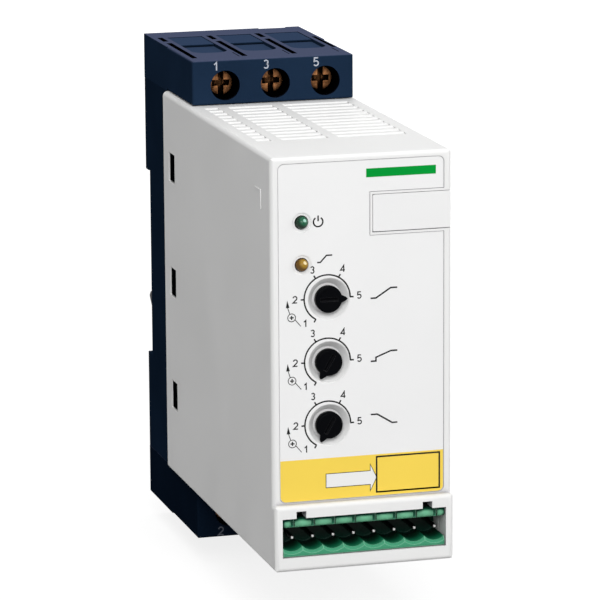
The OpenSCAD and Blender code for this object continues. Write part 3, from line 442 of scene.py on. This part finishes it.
def lens(name, colour, away_shade, highlight):
    """Tinted epoxy: a glossy skin over a cloudy body, a pale painted highlight and painted shade away from
    it.
    """
    material, tree, shader = bare(name)
    shader.inputs["Roughness"].default_value = 0.08
    shader.inputs["IOR"].default_value = 1.52
    shader.inputs["Specular IOR Level"].default_value = 0.2
    shader.inputs["Transmission Weight"].default_value = 0.1
    place = added(tree, "TexCoord")
    haze = added(tree, "TexNoise", Scale=900)
    towards = added(tree, "VectorMath", "DOT_PRODUCT")
    towards.inputs[1].default_value = highlight_way
    clouded = added(tree, "Math", "MULTIPLY_ADD")
    clouded.inputs[1].default_value = 0.05
    tint = ramp(tree, (0.5, away_shade), (0.86, colour), (0.97, colour), (1, highlight))
    linked(tree, place.outputs["Object"], haze.inputs["Vector"])
    linked(tree, place.outputs["Normal"], towards.inputs[0])
    linked(tree, haze.outputs["Fac"], clouded.inputs[0])
    linked(tree, towards.outputs["Value"], clouded.inputs[2])
    linked(tree, clouded.outputs["Value"], tint.inputs["Fac"])
    linked(tree, tint.outputs["Color"], shader.inputs["Base Color"])
    return material


green_lens = lens("green_lens", (0.004, 0.115, 0.05), away_shade=(0.001, 0.03, 0.012), highlight=(0.40, 0.70, 0.58))
finish_node("power_lamp", green_lens)
amber_lens = lens("amber_lens", (0.37, 0.21, 0.010), away_shade=(0.15, 0.07, 0.003), highlight=(0.90, 0.76, 0.42))
finish_node("run_lamp", amber_lens)


# Control socket: green polyamide, one moulding with a toothed upper rim and round channels.
# It is darkened inwards and near the hood as painted shade, and its front edges carry a pale painted
# highlight. A thin smooth skin in a paler green, as painted light, lies on the nine half-round teeth,
# with painted shade on their tops and near the hood. Eight tinned square pins are pressed in and
# soldered to the control board, their sides darkened as painted shade.
green_front, green_shade = (0.060, 0.32, 0.175), (0.0, 0.02, 0.012)
green_shade_stops = ((0, green_front), (0.05, green_front), (0.13, (0.018, 0.24, 0.115)),
               (0.26, (0.006, 0.14, 0.065)), (0.5, (0.0015, 0.035, 0.016)), (0.8, (0.0003, 0.003, 0.0015)))
fade_depth, edge_highlight_green, edge_highlight_radius = 0.009, (0.30, 0.62, 0.44), 0.0004
edge_highlight_none, edge_highlight_full = 0.0016, 0.0004
socket_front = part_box("control_header")[0].y


def edges(material, radius):
    """A share from nothing on flat skin to one on edges, which it also rounds within the radius."""
    tree = material.node_tree
    rim = added(tree, "Bevel", Radius=radius)
    rim.samples = 8
    flat = added(tree, "NewGeometry")
    turned = added(tree, "VectorMath", "DOT_PRODUCT")
    share = added(tree, "MapRange", From_Min=0.99, From_Max=0.85)
    linked(tree, rim.outputs["Normal"], tree.nodes["Bump"].inputs["Normal"])
    linked(tree, rim.outputs["Normal"], turned.inputs[0])
    linked(tree, flat.outputs["Normal"], turned.inputs[1])
    linked(tree, turned.outputs["Value"], share.inputs["Value"])
    return share.outputs["Result"]


def joined(material, operation, first, second):
    """One share from two."""
    tree = material.node_tree
    both = added(tree, "Math", operation)
    linked(tree, first, both.inputs[0])
    linked(tree, second, both.inputs[1])
    return both.outputs["Value"]


green_plastic = moulded("green_plastic", green_front, roughness=0.38, grain=0.0003, relief=0.00002,
                        specular=0.12)
tree = green_plastic.node_tree
# Painted shade: the green darkens inwards
inward_shade = ramp(tree, *green_shade_stops)
inwards = rising(green_plastic, "Object", "Y", socket_front, socket_front + fade_depth)
linked(tree, inwards, inward_shade.inputs["Fac"])
linked(tree, inward_shade.outputs["Color"], tree.nodes["Principled BSDF"].inputs["Base Color"])
# Painted shade near the hood
coated(green_plastic, green_shade, hollows(green_plastic, reach=0.0022, closed=0.45, clear=1.0, alone=False))
# Painted highlight: a pale green on the front edges
outwards = rising(green_plastic, "Object", "Y", socket_front + edge_highlight_none, socket_front + edge_highlight_full)
edge_highlight = joined(green_plastic, "MULTIPLY", edges(green_plastic, edge_highlight_radius), outwards)
coated(green_plastic, edge_highlight_green, edge_highlight)
finish_node("control_header", green_plastic)

tooth_count, tooth_pitch, groove, row_half = 9, 5.08, 1.0, 20.1
nose_r, nose_z, nose_turn, nose_steps, skin_t = 1.05, -47.2, 75, 20, 0.03
skin_r = nose_r + skin_t
nose = arc(socket_front * 1000 + nose_r, nose_z, skin_r, 180 + nose_turn, 180 - nose_turn,
           2 * nose_turn / nose_steps)
teeth = bmesh.new()
for i in range(tooth_count):
    left = max(-row_half, (i - tooth_count / 2) * tooth_pitch + groove / 2)
    right = min(row_half, (i + 1 - tooth_count / 2) * tooth_pitch - groove / 2)
    ends = [[teeth.verts.new((x / 1000, y / 1000, z / 1000)) for y, z in nose] for x in (left, right)]
    for k in range(nose_steps):
        teeth.faces.new((ends[0][k], ends[1][k], ends[1][k + 1], ends[0][k + 1])).smooth = True
    teeth.faces.new((ends[0][0], ends[0][-1], ends[1][-1], ends[1][0]))
    teeth.faces.new(ends[0])
    teeth.faces.new(ends[1])
bmesh.ops.recalc_face_normals(teeth, faces=teeth.faces)
teeth_top_shade, teeth_shade = (0.008, 0.13, 0.055), (0.0, 0.03, 0.018)
# The teeth's skin is a paler copy of the socket's green, as painted light
lit_teeth_plastic = moulded("lit_teeth_plastic", (0.155, 0.46, 0.275), roughness=0.3, grain=0.0003, relief=0.00002,
                        specular=0.12, cloud=0.05)
# Painted shade on the teeth's tops, and near the hood
coated(lit_teeth_plastic, teeth_top_shade, rising(lit_teeth_plastic, "Normal", "Z", sloped_facing, flat_facing))
coated(lit_teeth_plastic, teeth_shade, hollows(lit_teeth_plastic, reach=0.0022, closed=0.5, clear=0.93, alone=False))
teeth_skin = made("socket_teeth", teeth, lit_teeth_plastic)
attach(teeth_skin, "housing")

pin_edge, pin_side_shade = 0.0003, (0.03, 0.03, 0.03)
tip_facing, side_facing = -0.99, -0.9
tinned_pin = metal("tinned_pin", (0.55, 0.55, 0.54), roughness=0.2, streak=(1500, 300, 1500),
                   relief=0.000005)
# The pins' sides are darkened as painted shade, so that only their tips stay bright
coated(tinned_pin, pin_side_shade, rising(tinned_pin, "Normal", "Y", tip_facing, side_facing))
finish_node("header_pins", tinned_pin)
soften("header_pins", pin_edge)


# Hood: white flame-proof polycarbonate blend, one moulding with panel, roof, floor and sides.
# It slides over the base's sleeve and snaps on six hooks. The skin has a fine matt grain, and the
# hollows near the panel, such as the dials' dishes, carry a soft painted shade.
hood_edge, dish_shade, panel_y = 0.00008, (0.28, 0.27, 0.30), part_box("fascia_label")[0].y
shade_none, shade_full = 0.006, 0.004
white_plastic = moulded("white_plastic", (0.83, 0.83, 0.825), roughness=0.5, grain=0.00016, relief=0.00002,
                        specular=0.22, cloud=0.012)
# Painted shade in the hollows near the panel
near_panel = rising(white_plastic, "Object", "Y", panel_y + shade_none, panel_y + shade_full)
hood_hollows = hollows(white_plastic, reach=0.005, closed=0.35, clear=0.92)
coated(white_plastic, dish_shade, joined(white_plastic, "MINIMUM", hood_hollows, near_panel))
finish_node("front_cover", white_plastic)
soften("front_cover", hood_edge)


# Label: polyester film in a shallow seat of the panel, screen-printed in four inks.
# The inks lie a few hundredths of a millimetre thick on the film. The artwork is in millimetres.
film = moulded("label_film", (0.85, 0.85, 0.85), roughness=0.36, grain=0.0005, relief=0.000006,
               specular=0.4, cloud=0.008)
finish_node("fascia_label", film)
ink_lift = 0.00003
ink_y = panel_y - ink_lift
ink_skin = {"grain": 0.0002, "relief": 0.000004}
white_lift, frame_lift, arrow_lift = 0.000015, 0.00002, 0.00003


def fill(ink, outline, lift=0.0):
    """One printed field, its outline in millimetres across and up."""
    field = ink.faces.new([ink.verts.new((x / 1000, ink_y - lift, z / 1000)) for x, z in outline])
    field.normal_update()
    if field.normal.y > 0:
        field.normal_flip()


def stroke(ink, path, width, lift=0.0):
    """One printed line of even width along a path, mitred at its bends."""
    left, right = [], []
    for i, (x, z) in enumerate(path):
        before = Vector(path[i]) - Vector(path[i - 1]) if i else Vector(path[1]) - Vector(path[0])
        after = Vector(path[i + 1]) - Vector(path[i]) if i + 1 < len(path) else before
        before.normalize()
        after.normalize()
        along = (before + after).normalized()
        across = Vector((-along.y, along.x))
        half = width / 2 / max(0.3, across.dot(Vector((-before.y, before.x))))
        left.append((x + across.x * half, z + across.y * half))
        right.append((x - across.x * half, z - across.y * half))
    for i in range(len(path) - 1):
        fill(ink, [right[i], right[i + 1], left[i + 1], left[i]], lift)


def looped(path):
    """A path that ends where it began, mitred there too."""
    return path + path[:2]


def moved(path, x, z):
    """A path carried across and up."""
    return [(x + u, z + v) for u, v in path]


# Each figure is drawn in strokes on a field that is one unit high
figure_paths = {
    "1": [[(0.12, 0.74), (0.42, 1), (0.42, 0)]],
    "2": [arc(0.35, 0.7, 0.3, 170, -35, 20) + [(0.03, 0), (0.68, 0)]],
    "3": [arc(0.33, 0.76, 0.24, 155, -90, 20), arc(0.33, 0.26, 0.26, 90, -155, 20)],
    "4": [[(0.52, 0), (0.52, 1), (0.02, 0.28), (0.7, 0.28)]],
    "5": [[(0.6, 1), (0.14, 1), (0.09, 0.54)] + arc(0.33, 0.31, 0.3, 130, -150, 20)],
    "6": [looped(arc(0.34, 0.3, 0.3, 0, 360, 20)[:-1]), [(0.05, 0.36), (0.14, 0.68), (0.3, 0.9), (0.5, 1)]],
}
figure_middle = (0.35, 0.5)


def numeral(ink, figure, x, z, height, width):
    """One printed figure of plain strokes, about its own middle."""
    across, up = figure_middle
    for path in figure_paths[figure]:
        stroke(ink, [(x + (u - across) * height, z + (v - up) * height) for u, v in path], width)


def printed(name, ink, material):
    """A print that rides on the housing."""
    piece = made(name, ink, material)
    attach(piece, "housing")


# The dials: a scale with five figures, a ringed plus with an arrow on the left, a curve on the right
dial_x, dial_heights = -8.48, (6.76, -8.54, -23.84)
scale_r, scale_end, scale_line, tick_in, tick_out, tick_turn = 5.65, 240, 0.36, 5.6, 6.5, 60
figure_r, figure_h, figure_line = 7.9, 1.55, 0.28
figure_turns = (("5", 2), ("4", 61), ("3", 117), ("2", 179), ("1", 227))
sign_x, sign_z, sign_r, sign_line, plus_half, plus_line = -8.74, -4.17, 0.95, 0.18, 0.5, 0.3
sign_tail, sign_arm = [(2.24, -2.18), (0.84, -0.53)], [(-0.41, 0.82), (-0.96, 2.42)]
sign_tip = [(-1.41, 2.42), (-0.51, 2.42), (-1.06, 4.24)]
curve_x, curve_lift, curve_line = 2.2, 0.4, 0.38
curves = ([(0, -1.1), (1.3, -1.1), (5.0, 1.2), (6.6, 1.2)],
          [(0, -1.1), (1.3, -1.1), (1.3, -0.2), (5.0, 1.2), (6.6, 1.2)],
          [(0, 1.2), (1.6, 1.2), (5.3, -1.1), (6.6, -1.1)])
black = bmesh.new()
for z, curve in zip(dial_heights, curves):
    stroke(black, arc(dial_x, z, scale_r, 0, scale_end, 4), scale_line)
    for turn in range(0, scale_end + 1, tick_turn):
        stroke(black, [arc(dial_x, z, r, turn, turn)[0] for r in (tick_in, tick_out)], scale_line)
    for figure, turn in figure_turns:
        numeral(black, figure, *arc(dial_x, z, figure_r, turn, turn)[0], figure_h, figure_line)
    middle = (dial_x + sign_x, z + sign_z)
    stroke(black, looped(arc(*middle, sign_r, 0, 360)[:-1]), sign_line)
    stroke(black, moved([(-plus_half, 0), (plus_half, 0)], *middle), plus_line)
    stroke(black, moved([(0, -plus_half), (0, plus_half)], *middle), plus_line)
    stroke(black, moved(sign_tail, *middle), sign_line)
    stroke(black, moved(sign_arm, *middle), sign_line)
    fill(black, moved(sign_tip, *middle))
    stroke(black, moved(curve, curve_x, z + curve_lift), curve_line)

# Beside the lamps: a power sign, and the run-up curve
power_z, run_z = 25.25, 15.1
power_x, power_r, power_line, power_bar = -10.6, 1.15, 0.36, [(0, 0.15), (0, 1.5)]
power_start, power_end = 125, 415
run_x, run_line, run_curve = -10.9, 0.34, [(0, 0.4), (0.8, 0.4), (2.3, 2.0), (3.7, 2.0)]
stroke(black, arc(power_x, power_z, power_r, power_start, power_end, 10), power_line)
stroke(black, moved(power_bar, power_x, power_z), power_line)
stroke(black, moved(run_curve, run_x, run_z), run_line)

# On the band: an empty frame, and an arrow that points to it
frame_line, arrow_line = 0.4, 0.16
empty_frame = oblong(3.6, 19.3, -41.4, -32.7)
arrow = [(-9.0, -39.4), (2.0, -39.4), (2.0, -41.0), (3.6, -37.7), (2.0, -34.4), (2.0, -36.0),
         (-9.0, -36.0)]
stroke(black, looped(empty_frame), frame_line, frame_lift)
stroke(black, looped(arrow), arrow_line, arrow_lift)
ink_black = moulded("ink_black", (0.012, 0.012, 0.012), roughness=0.5, specular=0.1, **ink_skin)
printed("label_print_black", black, ink_black)

# The bar at the top
green = bmesh.new()
fill(green, oblong(1.2, 18.4, 35.2, 37.3))
ink_green = moulded("ink_green", (0.0, 0.30, 0.036), roughness=0.45, specular=0.06, **ink_skin)
printed("label_print_green", green, ink_green)

# The band along the lower edge, with round lower corners
band_low, band_high, band_half, band_r = -42.25, -32.1, 20.25, 1.35
yellow = bmesh.new()
fill(yellow, arc(-band_half + band_r, band_low + band_r, band_r, 180, 270, 15)
     + arc(band_half - band_r, band_low + band_r, band_r, 270, 360, 15)
     + [(band_half, band_high), (-band_half, band_high)])
ink_yellow = moulded("ink_yellow", (0.91, 0.655, 0.085), roughness=0.42, specular=0.35, cloud=0.02,
                     **ink_skin)
printed("label_print_yellow", yellow, ink_yellow)

# The arrow's own field
white = bmesh.new()
fill(white, arrow, white_lift)
ink_white = moulded("ink_white", (0.84, 0.84, 0.83), roughness=0.45, specular=0.35, cloud=0.01, **ink_skin)
printed("label_print_white", white, ink_white)


# Marker tag: blank white plate, clipped into a pocket that is open to the right.
# It is a smoother plastic than the hood.
tag_edge = 0.00015
tag_plastic = moulded("tag_plastic", (0.84, 0.84, 0.84), roughness=0.4, grain=0.0003, relief=0.00001,
                      specular=0.4, cloud=0.01)
finish_node("marker_tag", tag_plastic)
soften("marker_tag", tag_edge)


# Setting knobs: black moulded buttons with a pointer, a screwdriver slot and painted highlights on the
# edges.
# Each is pressed on the shaft of its potentiometer and turns in a round dish.
knob_edge, knob_highlight_radius, edge_highlight_black = 0.00012, 0.00025, (0.055, 0.055, 0.06)
knob_plastic = moulded("knob_plastic", (0.0016, 0.0018, 0.0026), roughness=0.26, grain=0.0002,
                       relief=0.000015, specular=0.02, cloud=0.1)
# Pale painted highlights on the edges
coated(knob_plastic, edge_highlight_black, edges(knob_plastic, knob_highlight_radius))
for name in ("start_ramp_knob", "start_voltage_knob", "stop_ramp_knob"):
    finish_node(name, knob_plastic)
    soften(name, knob_edge)


# Terminal numbers: pad-printed in grey on the heads' front faces, left of each pole.
# Odd numbers are on the line side and even ones on the load side, printed darker as painted shade.
ink_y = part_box("line_terminal_head")[0].y - ink_lift
pole_left, line_z, load_z, number_h, number_line = 2.4, 50.9, -69.9, 2.0, 0.34
line_figures, load_figures = bmesh.new(), bmesh.new()
for x, odd, even in zip(pole_xs, "135", "246"):
    numeral(line_figures, odd, x - pole_left, line_z, number_h, number_line)
    numeral(load_figures, even, x - pole_left, load_z, number_h, number_line)
ink_grey = moulded("ink_grey", (0.43, 0.46, 0.53), roughness=0.5, specular=0.2, cloud=0.03, **ink_skin)
printed("line_numerals", line_figures, ink_grey)
# The load side's numerals are a darker grey, as painted shade
ink_grey_shaded = moulded("ink_grey_shaded", (0.11, 0.12, 0.15), roughness=0.5, specular=0.1, cloud=0.03, **ink_skin)
printed("load_numerals", load_figures, ink_grey_shaded)


# Studio: a pale floor below the latch, which stays clear of it at full pull, and white air.
# One soft box stands high on the left in front, weaker ones on the right, above and far behind.
floor_z, floor_half, floor_tone = -0.078, 6, 0.27
glow_near, glow_far, near_r, far_r = 0.82, 0.95, 0.18, 0.7
air_level, centre = 0.22, Vector((0, -0.07, -0.01))


def seen_rays(tree):
    """Rays from the camera, and those that reach the eye by a mirror or through a lens."""
    path = added(tree, "LightPath")
    either = added(tree, "Math", "MAXIMUM")
    any_of = added(tree, "Math", "MAXIMUM")
    linked(tree, path.outputs["Is Camera Ray"], either.inputs[0])
    linked(tree, path.outputs["Is Glossy Ray"], either.inputs[1])
    linked(tree, either.outputs["Value"], any_of.inputs[0])
    linked(tree, path.outputs["Is Transmission Ray"], any_of.inputs[1])
    return any_of.outputs["Value"]


floor_paint, tree, paint = bare("floor_paint")
paint.inputs["Base Color"].default_value = (floor_tone, floor_tone, floor_tone, 1)
paint.inputs["Roughness"].default_value = 0.9
paint.inputs["Specular IOR Level"].default_value = 0.0
glow = added(tree, "Emission")
place = added(tree, "TexCoord")
away = added(tree, "VectorMath", "LENGTH")
brighter = added(tree, "MapRange", From_Min=near_r, From_Max=far_r, To_Min=glow_near, To_Max=glow_far)
both = added(tree, "AddShader")
choice = added(tree, "MixShader")
linked(tree, place.outputs["Object"], away.inputs[0])
linked(tree, away.outputs["Value"], brighter.inputs["Value"])
linked(tree, brighter.outputs["Result"], glow.inputs["Strength"])
linked(tree, paint.outputs["BSDF"], both.inputs[0])
linked(tree, glow.outputs["Emission"], both.inputs[1])
linked(tree, seen_rays(tree), choice.inputs["Fac"])
linked(tree, paint.outputs["BSDF"], choice.inputs[1])
linked(tree, both.outputs["Shader"], choice.inputs[2])
linked(tree, choice.outputs["Shader"], tree.nodes["Material Output"].inputs["Surface"])
floor_form = bmesh.new()
bmesh.ops.create_grid(floor_form, x_segments=1, y_segments=1, size=floor_half)
bmesh.ops.translate(floor_form, verts=floor_form.verts, vec=(0, 0, floor_z))
floor = made("floor", floor_form, floor_paint)
floor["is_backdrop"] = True

world = bpy.data.worlds.new("studio")
bpy.context.scene.world = world
world.use_nodes = True
tree = world.node_tree
air = tree.nodes["Background"]
air.inputs["Color"].default_value = (1, 1, 1, 1)
air.inputs["Strength"].default_value = air_level
white_air = added(tree, "Background", Color=(1, 1, 1, 1), Strength=1)
choice = added(tree, "MixShader")
linked(tree, seen_rays(tree), choice.inputs["Fac"])
linked(tree, air.outputs["Background"], choice.inputs[1])
linked(tree, white_air.outputs["Background"], choice.inputs[2])
linked(tree, choice.outputs["Shader"], tree.nodes["World Output"].inputs["Surface"])


def soft_box(name, direction, distance, size, level, glare=True):
    """Square soft box that gives the level on a surface facing it."""
    lamp = bpy.data.lights.new(name, "AREA")
    lamp.size = size
    lamp.energy = level * math.pi * math.pi * distance * distance
    box = bpy.data.objects.new(name, lamp)
    way = Vector(direction).normalized()
    box.location = centre + way * distance
    box.rotation_mode = "QUATERNION"
    box.rotation_quaternion = way.to_track_quat("Z", "Y")
    box.visible_glossy = glare
    bpy.context.scene.collection.objects.link(box)


soft_box("key_box", (-0.17, -0.82, 0.45), distance=1.3, size=0.9, level=0.8)
soft_box("fill_box", (0.9, -0.4, 0.2), distance=1.3, size=0.9, level=0.36)
soft_box("top_box", (-0.12, 0.1, 1.0), distance=1.2, size=0.9, level=0.345)
soft_box("back_box", (0.25, 1.0, 0.12), distance=1.6, size=0.9, level=0.4, glare=False)

bpy.context.scene.view_settings.view_transform = "Standard"


# Camera: a long lens at the height of a shop photograph, a little from the left and above.
# It has no shift, and its place is fitted to the object's corners.
camera_place, lens_mm, sensor_mm = (-0.26571, -1.02093, 0.20489), 241.4, 36
pan, tilt, roll = math.radians(-15.69), math.radians(12.07), math.radians(0.37)
level_right = Vector((math.cos(pan), math.sin(pan), 0))
back = Vector((math.sin(pan) * math.cos(tilt), -math.cos(pan) * math.cos(tilt), math.sin(tilt)))
level_up = back.cross(level_right)
right = math.cos(roll) * level_right - math.sin(roll) * level_up
up = math.sin(roll) * level_right + math.cos(roll) * level_up
eye = bpy.data.cameras.new("camera")
eye.lens = lens_mm
eye.sensor_width = sensor_mm
eye.clip_start = 0.05
eye.clip_end = 30
camera = bpy.data.objects.new("camera", eye)
bpy.context.scene.collection.objects.link(camera)
stand = Matrix((right, up, back)).transposed().to_4x4()
stand.translation = camera_place
camera.matrix_world = stand
bpy.context.scene.camera = camera

low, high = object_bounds()
